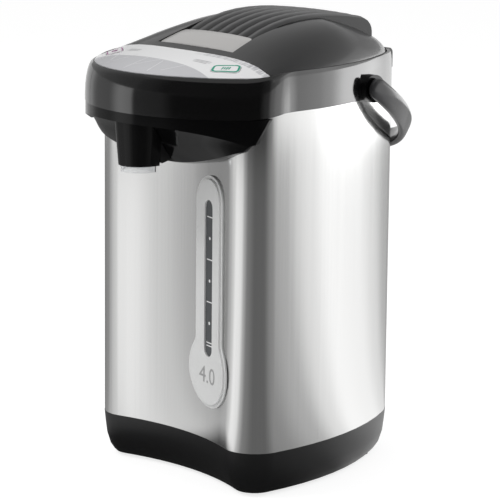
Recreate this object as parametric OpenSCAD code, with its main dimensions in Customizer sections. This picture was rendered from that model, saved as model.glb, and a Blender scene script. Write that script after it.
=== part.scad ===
// Electric thermo pot: a stainless jug with a shower-head spout, a hinged lid and a carrying handle.
// Millimetres, +Z up, spout towards -Y, standing on its feet at Z = 0.

/* [Body] */
// Greatest width across the steel jacket
body_w = 200; // [190:1:215]
// Radius of the round back
rear_r = 69.5; // [66:0.5:73]
// Distance of the round back's centre behind the pot axis
rear_y = 39; // [36:0.5:42]
// How far the widest line lies in front of the pot axis
widest_y = 65; // [60:1:70]
// Radius of the two front corners
corner_r = 25; // [21:1:29]
// How far the corner centres lie in front of the pot axis
corner_y = 77; // [74:1:80]
// Radius of the hollow front face
front_r = 208; // [190:1:240]
// Thickness of the steel sheet
sheet_t = 0.6; // [0.4:0.1:1]
// Height of the steel jacket
shell_h = 264.5; // [255:0.5:280]

/* [Base] */
// How far the feet stand below the base cover
foot_h = 2; // [1:0.5:4]
// Radius of a foot
foot_r = 8; // [6:0.5:10]
// Height of the base cover
base_h = 34; // [30:1:40]
// How far the base cover's lower edge lies inside its upper edge
base_inset = 10; // [6:0.5:12]
// Wall of the moulded base cover
base_wall = 2.4; // [1.8:0.1:3]
// Thickness of the bottom plate
plate_t = 2.5; // [2:0.1:4]

/* [Head] */
// Height of the collar above the steel jacket
collar_h = 30.5; // [28:0.5:34]
// Wall of the moulded head
head_wall = 2.5; // [2:0.1:3]
// Plan radius of the beak at the panel's front edge
beak_r = 112.5; // [110:0.5:116]
// How far the beak's arc centre lies in front of the pot axis
beak_y = 35.5; // [33:0.5:38]
// How far the beak's side bulges past its upper edge
beak_bulge = 6.5; // [4:0.5:8]
// Height of the panel's front edge below the collar's rim
panel_drop = 3.5; // [2:0.5:6]
// How far the parting line on the beak lies below the collar's lower edge
parting_drop = 3.5; // [2:0.5:5]
// Depth of the chin below the steel jacket's upper edge
chin_drop = 47.5; // [40:0.5:54]
// Height of the handle pivots above the steel jacket
pivot_rise = 8.5; // [7:0.5:12]

/* [Spout] */
// How far the spout's centre lies in front of the pot axis
spout_y = 133; // [130:0.5:136]
// Radius of the spout cover at its lower rim
spout_r = 16; // [15:0.5:18]
// How far the spout cover hangs below the steel jacket's upper edge
spout_drop = 46; // [42:0.5:50]
// Bore of the outlet nozzle
nozzle_bore = 7; // [5:0.5:8]

/* [Lid] */
// Height of the lid's crown above the collar's rim
lid_rise = 32.5; // [28:0.5:36]
// Width of the ribbed spine
spine_w = 84; // [76:1:90]
// How far the lid's front edge lies in front of the pot axis
lid_front = 84; // [82:0.5:86]
// How far the spine's tail ends behind the pot axis
tail_y = 72; // [66:1:76]
// How many ribs the spine has
rib_count = 7; // [5:1:9]
// Gap between the lid and the collar
lid_gap = 0.7; // [0.5:0.1:1.2]
// Wall of the lid cover
lid_wall = 2.6; // [2:0.1:3.2]
// Radius of the hinge pin
hinge_r = 1.5; // [1.2:0.1:2]

/* [Inner pot] */
// Outer radius of the inner pot
pot_r = 80; // [74:0.5:81]
// How far the inner pot's axis lies behind the origin of the plan
pot_y = 10; // [8:0.5:12]
// Wall of the inner pot
pot_wall = 1; // [0.6:0.1:1.4]
// Height of the inner pot's floor above the steel jacket's lower edge
pot_lift = 52; // [46:1:60]
// Radius of the filling mouth
mouth_r = 71; // [64:0.5:72]

/* [Water gauge] */
// Distance of the gauge's middle line from the middle of the front
gauge_x = 41.5; // [38:0.5:44]
// Half width of the gauge's stem
gauge_half = 21; // [19:0.5:22]
// Radius of the gauge's round foot
gauge_disc = 30; // [28:0.5:31]
// Height of the round foot's centre above the steel jacket's lower edge
gauge_rise = 57; // [52:1:66]
// Height of the gauge from the foot's centre to its top
gauge_len = 154; // [140:1:160]
// Half width of the gauge's window
window_half = 6.3; // [5:0.1:8]
// Outer radius of the level tube
tube_r = 4; // [3:0.1:4.5]

/* [Handle] */
// Distance of the handle's pivots behind the pot axis
pivot_y = 33; // [30:0.5:36]
// Half distance between the middles of the handle's arms
handle_half = 91.5; // [90:0.5:96]
// Reach of the handle from its pivots to its grip
handle_reach = 101.5; // [99:0.5:106]
// Width of the handle's band
handle_w = 17; // [14:0.5:20]
// Thickness of the handle's band
handle_t = 7; // [5:0.5:8]
// Angle at which the handle hangs below level
handle_hang = 34; // [30:1:34]
// Radius of the handle's eye
eye_r = 8.5; // [8:0.5:11]
// Radius of the handle's pivot pin
pin_r = 3; // [2.5:0.1:4]

/* [Fits] */
// Running clearance between a pin and its bore
run_gap = 0.05; // [0.02:0.01:0.08]
// Gap between pieces that are assembled but do not run
fit_gap = 0.3; // [0.2:0.05:0.4]

/* [Hidden] */
$fn = 64;

// Heights of the main seams
base_z = foot_h;
shell_z = base_z + base_h;
collar_z = shell_z + shell_h;
rim_z = collar_z + collar_h;
panel_z = rim_z - panel_drop;
parting_z = collar_z - parting_drop;

// Plan arcs: the sides run tangent into the round back, the corners into the sides and the hollow front
half_w = body_w / 2;
side_r = (half_w * half_w + pow(rear_y + widest_y, 2) - rear_r * rear_r) / (2 * (half_w - rear_r));
side_x = side_r - half_w;
corner_x = sqrt(pow(side_r - corner_r, 2) - pow(corner_y - widest_y, 2)) - side_x;
front_c = corner_y + sqrt(pow(front_r + corner_r, 2) - corner_x * corner_x);
rear_turn = atan2(rear_y + widest_y, side_x);
side_turn = atan2(widest_y - corner_y, corner_x + side_x);
corner_turn = atan2(corner_y - front_c, -corner_x);
blend_y = 58;
blend_turn = asin((widest_y - blend_y) / side_r);
beak_turn = 54;
beak_low_r = beak_r + beak_bulge;

// Points of an arc without its last one
function arc(c, r, a, b, n) = [for (i = [0 : n - 1]) c + r * [cos(a + (b - a) * i / n), sin(a + (b - a) * i / n)]];
function mirrored(pts) = [for (i = [len(pts) - 1 : -1 : 0]) [-pts[i][0], pts[i][1]]];
function mix(a, b, t) = a + (b - a) * t;
function bezier(a, b, c, d, n) = [for (i = [0 : n - 1]) let (t = i / n, s = 1 - t)
    s * s * s * a + 3 * s * s * t * b + 3 * s * t * t * c + t * t * t * d];
function raise(pts, z) = [for (p = pts) [p[0], p[1], z]];

// The jacket's outline, drawn in by d all round, counter-clockwise from the right front corner
function body_line(d) = let (
    corner = arc([corner_x, -corner_y], corner_r - d, corner_turn, side_turn, 7),
    side = arc([-side_x, -widest_y], side_r - d, side_turn, rear_turn, 8),
    rear = arc([0, rear_y], rear_r - d, rear_turn, 180 - rear_turn, 22),
    side_l = arc([side_x, -widest_y], side_r - d, 180 - rear_turn, 180 - side_turn, 8),
    corner_l = arc([-corner_x, -corner_y], corner_r - d, 180 - side_turn, 180 - corner_turn, 7),
    front = arc([0, -front_c], front_r + d, -corner_turn, 180 + corner_turn, 12))
    concat(corner, side, rear, side_l, corner_l, front);

// The head's outline: the same sides and back, with the beak's arc of radius r in front
function head_line(r, d) = let (
    a = side_r - d,
    p0 = [a * cos(blend_turn) - side_x, a * sin(blend_turn) - widest_y],
    p3 = [r * sin(beak_turn), -beak_y - r * cos(beak_turn)],
    p2 = p3 + 26 * [cos(beak_turn), sin(beak_turn)],
    p1 = p0 + [0.6, -17],
    beak = arc([0, -beak_y], r, -90 - beak_turn, beak_turn - 90, 18),
    turn = bezier(p3, p2, p1, p0, 8),
    side = arc([-side_x, -widest_y], a, blend_turn, rear_turn, 6),
    rear = arc([0, rear_y], rear_r - d, rear_turn, 180 - rear_turn, 22),
    side_l = arc([side_x, -widest_y], a, 180 - rear_turn, 180 - blend_turn, 6),
    turn_l = bezier([-p0[0], p0[1]], [-p1[0], p1[1]], [-p2[0], p2[1]], [-p3[0], p3[1]], 8))
    concat(beak, turn, side, rear, side_l, turn_l);

// A wall that closes on itself: rings run up the outside and down the inside
module ring_shell(rings) {
    n = len(rings[0]);
    m = len(rings);
    polyhedron([for (r = rings, p = r) p],
        [for (k = [0 : m - 1], i = [0 : n - 1], h = [0, 1]) let (
            a = k * n, b = ((k + 1) % m) * n, j = (i + 1) % n)
            h == 0 ? [a + i, b + i, b + j] : [a + i, b + j, a + j]]);
}

// A solid through a row of closed sections
module skin(rings) {
    n = len(rings[0]);
    m = len(rings);
    polyhedron([for (r = rings, p = r) p],
        concat(
            [for (k = [0 : m - 2], i = [0 : n - 1], h = [0, 1]) let (
                a = k * n, b = (k + 1) * n, j = (i + 1) % n)
                h == 0 ? [a + i, b + i, b + j] : [a + i, b + j, a + j]],
            [[for (i = [0 : n - 1]) i]],
            [[for (i = [n - 1 : -1 : 0]) (m - 1) * n + i]]));
}

module plate_of(pts, z, t) {
    translate([0, 0, z]) linear_extrude(t) polygon(pts);
}

module tube(r, bore, h) {
    difference() {
        cylinder(r = r, h = h);
        translate([0, 0, -1]) cylinder(r = bore, h = h + 2);
    }
}

module across(x, y, z, r, len) {
    translate([x, y, z]) rotate([0, 90, 0]) cylinder(r = r, h = len);
}

// Centre of the plan box, from the beak's nose to the handle's grip
band_chamfer = 2;
grip_y = pivot_y + (handle_reach + handle_t / 2) * cos(handle_hang) + (handle_w / 2 - band_chamfer) * sin(handle_hang);
plan_y = (beak_y + beak_low_r - grip_y) / 2;

// The lid's outline and its crowned surface
collar_draft = 1.5;
lid_inset = collar_draft + head_wall + lid_gap;
lid_z = rim_z - 2;
crown_y = 15.5;
crown_end = rear_y + rear_r - lid_inset + 2;
crown_z = rim_z + lid_rise;
lid_turn_y = rear_y + (rear_r - lid_inset) * sin(rear_turn);

function lid_x(y) = y > lid_turn_y
    ? sqrt(pow(rear_r - lid_inset, 2) - pow(y - rear_y, 2))
    : sqrt(pow(side_r - lid_inset, 2) - pow(y + widest_y, 2)) - side_x;
function crown(y) = y < crown_y
    ? crown_z - 24.4 * pow((crown_y - y) / 100, 1.82)
    : lid_z + (crown_z - lid_z) * pow(1 - pow((y - crown_y) / (crown_end - crown_y), 1.15), 0.68);
function lobe(x, y) = lid_z + (crown(y) - lid_z) * pow(1 - pow(min(1, abs(x) / lid_x(y)), 4.1), 0.74);

// The spine stands proud of the lobes and ends in a tail with a rounded edge
spine_half = spine_w / 2;
spine_front = -52;
spine_top = rim_z + 33.4;
tail_r = 9;
rib_pitch = spine_w / rib_count;
function tail_drop(y) = y < tail_y - tail_r ? 0 : tail_r - sqrt(max(0, tail_r * tail_r - pow(y - tail_y + tail_r, 2)));
function spine_edge(y) = spine_top - tail_drop(y)
    - (y < crown_y ? 0.00093 * pow(crown_y - y, 2.3) : 0.0021 * pow(y - crown_y, 2));
function rib(x) = 1.3 * (pow(abs(sin(180 * (x + spine_half) / rib_pitch)), 0.7) - 1);
function spine(x, y) = spine_edge(y) + 1.4 * (1 - pow(x / spine_half, 2)) + rib(x);

// The panel's deck runs from the lid's front edge down to the beak's arc
function beak_front(x, r) = -beak_y - sqrt(r * r - x * x);
function deck_share(x, y) = let (f = beak_front(x, beak_r)) max(0, min(1, (y - f) / (-lid_front - lid_gap - f)));
function deck(x, y) = let (t = deck_share(x, y)) panel_z + (lobe(x, -lid_front) - panel_z) * t * (1.15 - 0.15 * t);

// A slab that follows the deck between two depths, inside the arc of radius r, half as wide as w
module deck_slab(r, w, up, down, back) {
    n = 20;
    m = 8;
    skin([for (i = [0 : n]) let (x = w * sin(90 * (2 * i / n - 1)), f = beak_front(x, r))
        concat(
            [for (j = [0 : m]) let (y = mix(back, f, j / m)) [x, y, deck(x, y) + up]],
            [for (j = [m : -1 : 0]) let (y = mix(back, f, j / m)) [x, y, deck(x, y) - down]])]);
}

module centred() {
    translate([0, plan_y, 0]) children();
}

// The base cover: a tapered wall with a step that carries the steel jacket
base_levels = [0, 0.06, 0.2, 0.45, 0.75, 1];
function base_draw(t) = base_inset * (0.32 * (1 - t) + 0.68 * pow(1 - t, 5));
deck_t = 2.2;
deck_hole = 62;
inlet_w = 26;
inlet_h = 18;
inlet_z = base_z + 16;
inlet_face = rear_y + rear_r - 5;

module base_cover() {
    color("#262728") centred() difference() {
        union() {
            ring_shell(concat(
                [for (t = base_levels) raise(body_line(base_draw(t)), base_z + t * base_h)],
                [for (i = [len(base_levels) - 1 : -1 : 0]) let (t = base_levels[i])
                    raise(body_line(base_draw(t) + base_wall), base_z + t * base_h)]));
            difference() {
                plate_of(body_line(base_wall / 2), shell_z - deck_t - 2, deck_t);
                translate([0, 0, shell_z - deck_t - 3]) cylinder(r = deck_hole, h = deck_t + 2);
            }
        }
        at_pump(shell_z - deck_t - 3) cylinder(r = motor_r + 1, h = deck_t + 2);
        translate([-inlet_w / 2, inlet_face - 20, inlet_z - inlet_h / 2]) cube([inlet_w, 40, inlet_h]);
        for (p = rod_places) translate([p[0], p[1], shell_z - deck_t - 3]) cylinder(r = rod_r + fit_gap, h = 8);
    }
}

vent_count = 7;
module base_plate() {
    color("#1f2021") centred() difference() {
        plate_of(body_line(base_draw(0) + base_wall + fit_gap), base_z, plate_t);
        for (p = foot_places) translate([p[0], p[1], base_z - 1]) cylinder(r = foot_r - 3, h = plate_t + 2);
        for (p = screw_places) translate([p[0], p[1], base_z - 1]) cylinder(r = screw_r + fit_gap, h = plate_t + 2);
        for (i = [0 : vent_count - 1]) translate([-24, -4 + 8 * i, base_z - 1]) cube([48, 3.5, plate_t + 2]);
    }
}

foot_places = [[66, -68], [-66, -68], [44, 63], [-44, 63]];
screw_places = [[48, -66], [-48, -66], [62, 40], [-62, 40]];
screw_r = 1.75;

module rubber_feet() {
    color("#101010") centred() for (p = foot_places) translate([p[0], p[1], 0]) {
        cylinder(r = foot_r, h = foot_h);
        cylinder(r = foot_r - 3 - fit_gap, h = foot_h + plate_t);
    }
}

module base_screws() {
    color("silver") centred() for (p = screw_places) translate([p[0], p[1], 0]) {
        translate([0, 0, base_z - 0.6]) cylinder(r = 3.2, h = 0.6);
        translate([0, 0, base_z - 0.3]) cylinder(r = screw_r, h = 14);
    }
}

// The steel jacket: one sheet, wrapped round and open above and below
jacket_in = 0.2;
module outer_shell() {
    color("#c9cacb") centred() difference() {
        plate_of(body_line(jacket_in), shell_z, shell_h);
        plate_of(body_line(jacket_in + sheet_t), shell_z - 1, shell_h + 2);
        gauge_place() face_block(stadium(window_half + 3, window_low - 3, window_high + 3), front_r - 5, front_r + 5);
    }
}

// The head: collar and beak in one moulding, with the panel's deck, the lid's well and the handle's bosses
head_levels = [0, 0.15, 0.4, 0.6, 0.76, 0.88, 0.96, 1];
pivot_z = collar_z + pivot_rise;
boss_r = 11;
boss_end = handle_half - handle_t / 2 - 0.5;
well_wall = 2.5;
mouth_z = collar_z + 11.5;
mouth_t = 3;
panel_t = 1.2;
catch_w = 18;
catch_h = 5.6;
catch_z = rim_z + 3;
hinge_y = rear_y + rear_r - 6;
knuckle_r = 4.2;
hinge_z = rim_z - knuckle_r;
hinge_half = 30.5;
knuckle_half = 23.5;

function bulge(t) = t < 0.15 ? 1 : sqrt(1 - pow((t - 0.15) / 0.85, 2));
turn_share = [for (i = [0 : 7]) max(0, 1 - i / 5)];
beak_share = concat([for (i = [1 : 18]) 1], turn_share, [for (i = [1 : 34]) 0], [for (i = [0 : 7]) max(0, (i - 3) / 5)]);
function head_ring(r, d, z_back, z_beak) = let (line = head_line(r, d))
    [for (i = [0 : len(line) - 1]) [line[i][0], line[i][1], mix(z_back, z_beak, beak_share[i])]];
function head_level(t, wall) = head_ring(beak_r + beak_bulge * bulge(t) - wall,
    collar_draft * pow(t, 8) + wall, mix(collar_z, rim_z, t), mix(parting_z, panel_z, t));

module both_sides() {
    for (side = [0, 1]) mirror([side, 0, 0]) children();
}

module hinge_ear() {
    across(knuckle_half + 0.5, hinge_y, hinge_z, knuckle_r, hinge_half - knuckle_half - 0.5);
    translate([knuckle_half + 0.5, hinge_y - knuckle_r, mouth_z + mouth_t])
        cube([hinge_half - knuckle_half - 0.5, 2 * knuckle_r, hinge_z - mouth_z - mouth_t]);
}

module head_cover() {
    color("#151516") centred() difference() {
        union() {
            difference() {
                ring_shell(concat(
                    [for (t = head_levels) head_level(t, 0)],
                    [head_ring(beak_r - 0.9, collar_draft + head_wall, rim_z, panel_z)],
                    [head_ring(beak_r + 1.6 - head_wall, collar_draft / 2 + head_wall, rim_z - 2, panel_z - 1.4)],
                    [head_level(0.5, head_wall), head_level(0, head_wall)]));
                translate([-hinge_half - 4, hinge_y - 8, hinge_z - knuckle_r - 1.6]) cube([2 * hinge_half + 8, 20, 20]);
            }
            intersection() {
                deck_slab(beak_r + 2, 102, -panel_t - 0.05, panel_t + 2.5, -lid_front - lid_gap);
                plate_of(head_line(beak_r + 0.6, collar_draft + 0.8), rim_z - 20, 40);
            }
            well_front();
            difference() {
                both_sides() across(rear_r, pivot_y, pivot_z, boss_r, boss_end - rear_r);
                plate_of(body_line(head_wall), collar_z - 10, collar_h + 10);
                plate_of(body_line(0), collar_z - 20, 20);
            }
            both_sides() hinge_ear();
            for (p = board_posts) translate([p[0], p[1], board_z + board_t])
                cylinder(r = 3, h = deck(p[0], p[1]) - panel_t - 1.5 - board_z - board_t);
        }
        both_sides() across(boss_end - 5.5, pivot_y, pivot_z, pin_r, 20);
        across(-hinge_half - 1, hinge_y, hinge_z, hinge_r, 2 * hinge_half + 2);
        translate([-catch_w / 2, -lid_front - 6, catch_z - catch_h / 2]) cube([catch_w, 6, catch_h]);
        for (side = [-1, 1]) key_prism(side, key_gap, 60);
    }
}

// The lid's well ends in front in a wall under the deck's rear edge
module well_front() {
    back = -lid_front - lid_gap;
    skin([for (i = [-8 : 8]) let (x = 12 * i, z = deck(x, back) - panel_t - 1) [
        [x, back, z],
        [x, back - well_wall, z],
        [x, back - well_wall, mouth_z + mouth_t],
        [x, back, mouth_z + mouth_t]]]);
}

// The chin: the beak's lower moulding, rolling back under it to the steel face
nose_drop = 11.3;
chin_turn = 62;
chin_knee = 56;
chin_rise = 51;
flank_z = collar_z - 25;
face_gap = 0.4;
contact_x = corner_x * front_r / (front_r + corner_r);
function face_y(x, gap) = abs(x) < contact_x
    ? sqrt(pow(front_r - gap, 2) - x * x) - front_c
    : -corner_y - sqrt(pow(corner_r + gap, 2) - pow(abs(x) - corner_x, 2));
function smooth(t) = let (u = max(0, min(1, t))) u * u * (3 - 2 * u);
function chin_edge_z(a) = let (n = abs(a)) n < chin_knee
    ? mix(collar_z - nose_drop, flank_z, pow(n / chin_knee, 3.2))
    : mix(flank_z, parting_z - 0.5, (n - chin_knee) / (chin_turn - chin_knee));
function chin_foot_z(x) = collar_z - chin_drop + 22 * pow(x / 95, 2);
function chin_share(s) = 0.92 * smooth((s - 0.2) / 0.55) + 0.08 * s;
chin_steps = [0, 0.1, 0.25, 0.36, 0.46, 0.56, 0.68, 0.84, 1];

function chin_r(a, w) = beak_low_r - 0.4 - w - 0.03 * pow(max(0, abs(a) - beak_turn), 2);

function chin_angle(t) = sign(t) * chin_turn * (1 - pow(1 - abs(t), 1.6));

// One section of the chin at plan angle a, drawn in by the wall w
function chin_belly(a, w) = let (
    r = chin_r(a, w),
    e = [r * sin(a), -beak_y - r * cos(a)],
    fx = beak_low_r * sin(a) * (1 - 0.055 * pow(sin(a) / 0.88, 2)),
    f = [fx, face_y(fx, face_gap)],
    foot = mix(chin_foot_z(fx), parting_z - 0.5, smooth((abs(a) - chin_rise) / (chin_turn - chin_rise))),
    ze = min(chin_edge_z(a) + w, parting_z - 0.3),
    zf = min(min(foot, chin_edge_z(a)) + w, parting_z - 0.3))
    [for (s = chin_steps) let (p = mix(e, f, s)) [p[0], p[1], mix(ze, zf, chin_share(s))]];
function chin_top(a, w) = let (r = chin_r(a, w))
    [r * sin(a), -beak_y - r * cos(a), parting_z - 0.1];
function reversed(v) = [for (i = [len(v) - 1 : -1 : 0]) v[i]];

module chin_cover() {
    color("#0d0d0e") centred() difference() {
        skin([for (i = [-14 : 14]) let (a = chin_angle(i / 14))
            concat([chin_top(a, 0)], chin_belly(a, 0), reversed(chin_belly(a, head_wall * 0.8)),
                [chin_top(a, head_wall * 0.8)])]);
        plate_of(spout_line(spout_r + 3, 0.6), spout_z, parting_z - spout_z);
        translate([-lever_half - 1, -spout_back + 0.2, spout_z - 10])
            cube([2 * lever_half + 2, spout_back - 104, 60]);
    }
}

// The ring round the filling mouth: it closes the head's well and clamps the inner pot's flange
module mouth_ring() {
    color("#3a3b3c") centred() difference() {
        union() {
            plate_of(body_line(head_wall + fit_gap), mouth_z + 0.05, mouth_t - 0.1);
            translate([0, pot_y, mouth_z - 6]) cylinder(r = pot_r - pot_wall - fit_gap, h = 8);
        }
        translate([0, pot_y, mouth_z - 10]) cylinder(r = mouth_r, h = 20);
        translate([0, 0, mouth_z - 10]) for (p = rod_places) translate([p[0], p[1], 0])
            cylinder(r = rod_r + fit_gap, h = 20);
    }
}

// Two oblong keys look through the panel, turned to follow the beak's edge
key_x = 68;
key_y = -103.5;
key_turn = 37;
key_l = 22;
key_w = 13;
key_gap = 0.4;
key_rise = 0.5;
key_travel = 0.8;
function oblong(l, w, r) = concat(
    arc([l / 2 - r, w / 2 - r], r, 0, 90, 4), [[l / 2 - r, w / 2]],
    arc([r - l / 2, w / 2 - r], r, 90, 180, 4), [[-l / 2, w / 2 - r]],
    arc([r - l / 2, r - w / 2], r, 180, 270, 4), [[r - l / 2, -w / 2]],
    arc([l / 2 - r, r - w / 2], r, 270, 360, 4), [[l / 2, r - w / 2]]);
module key_prism(side, gap, h) {
    translate([side * key_x, key_y, rim_z - 30]) rotate([0, 0, side * key_turn])
        linear_extrude(h) polygon(oblong(key_l + 2 * gap, key_w + 2 * gap, 4 + gap));
}

module control_panel() {
    color("#c8cacc") centred() difference() {
        intersection() {
            deck_slab(beak_r + 2, 102, 0, panel_t, -lid_front - lid_gap);
            plate_of(head_line(beak_r - 1, collar_draft + head_wall + 0.1), rim_z - 20, 40);
        }
        for (side = [-1, 1]) key_prism(side, key_gap, 60);
    }
}

module key(side) {
    stem_z = board_z + board_t + 0.4 + key_travel;
    translate([side * key_x, key_y, stem_z]) cylinder(r = 2, h = deck(key_x, key_y) - panel_t - 2 - stem_z);
    intersection() {
        key_prism(side, 0, 60);
        deck_slab(beak_r, 97.5, key_rise, panel_t + 4, -lid_front - lid_gap);
    }
}

module dispense_button() {
    color("#1f8a5f") centred() key(1);
}

module unlock_button() {
    color("#a8548f") centred() key(-1);
}

// The control board hangs from four posts under the deck
board_z = mouth_z + mouth_t + 0.5;
board_t = 1.6;
board_half = 74;
board_posts = [[34, -124], [-34, -124], [44, -98], [-44, -98]];
module control_board() {
    color("#2f6b3c") centred() {
        intersection() {
            translate([-board_half, -134, board_z]) cube([2 * board_half, 42, board_t]);
            translate([0, -beak_y, board_z]) cylinder(r = beak_r - 8, h = board_t);
        }
        for (side = [-1, 1]) translate([side * key_x, key_y, board_z + board_t]) cylinder(r = 2.5, h = 0.3);
    }
}

// The spout cover: a half round shell, open below, hung from a flange inside the chin
spout_z = collar_z - spout_drop;
spout_back = spout_y - 7.5;
spout_wall = 1.8;
spout_top_z = collar_z - 8.4;
flange_t = 2;
flange_half = 21;
flange_back = 98;
function spout_line(r, out) = concat(
    arc([0, -spout_y], r + out, 180, 360, 20),
    [[r + out, -spout_y], [r + out, -spout_back + out], [-r - out, -spout_back + out]]);
function spout_ring(r, w, z) = raise(spout_line(r, -w), z);

module spout_cover() {
    color("#101011") centred() {
        ring_shell([
            spout_ring(spout_r, 0, spout_z),
            spout_ring(spout_r + 3, 0, spout_top_z),
            spout_ring(spout_r + 3, spout_wall, spout_top_z),
            spout_ring(spout_r, spout_wall, spout_z)]);
        difference() {
            translate([-flange_half, 1.5 - spout_y - spout_r, spout_top_z - 0.02])
                cube([2 * flange_half, spout_y + spout_r - 1.5 - flange_back, flange_t]);
            translate([0, -spout_y, spout_top_z - 1]) cylinder(r = nozzle_r + 0.1, h = flange_t + 2);
        }
        both_sides() difference() {
            translate([lever_half + 0.5, -lever_y - 4, lever_z - 3]) cube([2.5, 8, spout_top_z - lever_z + 3.5]);
            across(lever_half, lever_y * -1, lever_z, lever_pin_r, 8);
        }
    }
}

// The clear guard inside the spout's lower rim keeps splashes off the cup's edge
guard_t = 0.7;
guard_out = spout_wall + 0.15;
module spout_guard() {
    color([0.85, 0.88, 0.9, 0.5]) centred() ring_shell([
        spout_ring(spout_r - 0.1, guard_out, spout_z - 5),
        spout_ring(spout_r + 0.3, guard_out, spout_z + 10),
        spout_ring(spout_r + 0.3, guard_out + guard_t, spout_z + 10),
        spout_ring(spout_r - 0.1, guard_out + guard_t, spout_z - 5)]);
}

nozzle_r = nozzle_bore / 2 + 1.2;
pipe_z = collar_z + 5.6;
module spout_nozzle() {
    color("#e3e3e0") centred() translate([0, -spout_y, spout_z + 3])
        tube(nozzle_r, nozzle_bore / 2, pipe_z - pipe_r - spout_z - 3.4);
}

// The cup lever hangs behind the spout; a cup's rim pushes it back
lever_half = 15.5;
lever_y = 117;
lever_z = collar_z - 13;
lever_pin_r = 1.2;
module cup_lever() {
    color("#0c0c0d") centred() difference() {
        union() {
            translate([lever_half, 0, 0]) rotate([0, -90, 0]) linear_extrude(2 * lever_half) polygon([
                [lever_z + 1, -spout_back + 1.2], [spout_z + 2.5, -spout_back + 1.2], [spout_z + 1.5, -spout_back + 3],
                [spout_z + 3.3, 1.5 - lever_y], [spout_z + 5, 2.5 - lever_y], [spout_z + 12, -lever_y - 1],
                [lever_z + 1, -lever_y - 2]]);
            across(-lever_half, -lever_y, lever_z, 3.4, 2 * lever_half);
            translate([-4, -lever_y - 3, lever_z - 6]) cube([8, 19, 3]);
        }
        across(-20, -lever_y, lever_z, lever_pin_r + run_gap, 40);
    }
}

module lever_pin() {
    color("silver") centred() across(-lever_half - 2.9, -lever_y, lever_z, lever_pin_r - 0.01, 2 * lever_half + 5.8);
}

// The switch under the spout's flange; the lever's rear arm lifts its plunger
module cup_switch() {
    color("#26282b") centred() {
        translate([-10, -107, lever_z - 0.3]) cube([20, 8.5, spout_top_z - 0.05 - lever_z + 0.3]);
        translate([0, -103, lever_z - 0.9]) cylinder(r = 1.2, h = 1);
    }
}

// The water gauge follows the hollow face: its pieces are cut between rings about the face's own centre
gauge_turn = asin(gauge_x / front_r);
gauge_z = shell_z + gauge_rise;
gauge_top = gauge_z + gauge_len;
gauge_rim = 2.8;
window_low = gauge_z + 11;
window_high = gauge_top - 18.8;
fillet_r = 10;
function stadium(half, low, high) = concat(
    arc([0, high - half], half, 0, 180, 10), [[-half, high - half]],
    arc([0, low + half], half, 180, 360, 10), [[half, low + half]]);
function gauge_line(half, disc, top) = let (
    rise = sqrt(pow(disc + fillet_r, 2) - pow(half + fillet_r, 2)),
    a = atan2(rise, half + fillet_r))
    concat(
        arc([0, gauge_z], disc, 180 - a, 360 + a, 24),
        arc([half + fillet_r, gauge_z + rise], fillet_r, 180 + a, 180, 4),
        [[half, gauge_z + rise]],
        arc([0, top - half], half, 0, 180, 16),
        [[-half, top - half]],
        arc([-half - fillet_r, gauge_z + rise], fillet_r, 0, -a, 4));
module gauge_place() {
    translate([0, -front_c, 0]) rotate([0, 0, -gauge_turn]) children();
}
module face_block(pts, near, far) {
    translate([0, far, 0]) rotate([90, 0, 0]) linear_extrude(far - near) polygon(pts);
}
module face_layer(pts, near, far) {
    intersection() {
        face_block(pts, front_r - 8, front_r + 8);
        difference() {
            cylinder(r = far, h = collar_z, $fn = 128);
            translate([0, 0, -1]) cylinder(r = near, h = collar_z + 2, $fn = 128);
        }
    }
}

module gauge_frame() {
    color("#dcdddc") centred() gauge_place() difference() {
        union() {
            face_layer(gauge_line(gauge_half, gauge_disc, gauge_top), front_r - 1.4, front_r + jacket_in - 0.15);
            face_layer(gauge_line(gauge_half - gauge_rim, gauge_disc - gauge_rim, gauge_top - gauge_rim),
                front_r - 3, front_r - 1);
            face_block(stadium(window_half + 3 - fit_gap, window_low - 3 + fit_gap, window_high + 3 - fit_gap),
                front_r - 0.5, front_r + 3);
        }
        face_block(stadium(window_half, window_low, window_high), front_r - 9, front_r + 9);
    }
}

module gauge_window() {
    color([0.25, 0.27, 0.29, 0.8]) centred() gauge_place()
        face_block(stadium(window_half - 0.1, window_low + 0.1, window_high - 0.1), front_r - 1.8, front_r + 0.4);
}

// Heights of the inner pot's floor and mouth
pot_z = shell_z + pot_lift;
pot_top = mouth_z;

// The level tube stands behind the window, joined to the pot above and below
tube_back = 12;
tube_x = (front_r + tube_back) * sin(gauge_turn);
tube_y = (front_r + tube_back) * cos(gauge_turn) - front_c;
tube_low = pot_z + 14;
tube_high = pot_top - 22;
function pot_face(x) = pot_y - sqrt(pot_r * pot_r - x * x);
module level_tube() {
    reach = pot_face(tube_x - tube_r) - tube_y - 0.2;
    color([0.9, 0.93, 0.95, 0.5]) centred() translate([tube_x, tube_y, 0]) difference() {
        union() {
            translate([0, 0, tube_low - 6]) cylinder(r = tube_r, h = tube_high - tube_low + 12);
            for (z = [tube_low, tube_high]) translate([0, 0, z]) rotate([-90, 0, 0]) cylinder(r = tube_r - 0.5, h = reach);
        }
        translate([0, 0, tube_low - 5]) cylinder(r = tube_r - 1, h = tube_high - tube_low + 10);
        for (z = [tube_low, tube_high]) translate([0, 0, z]) rotate([-90, 0, 0])
            cylinder(r = tube_r - 1.8, h = reach + 1);
    }
}

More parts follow.
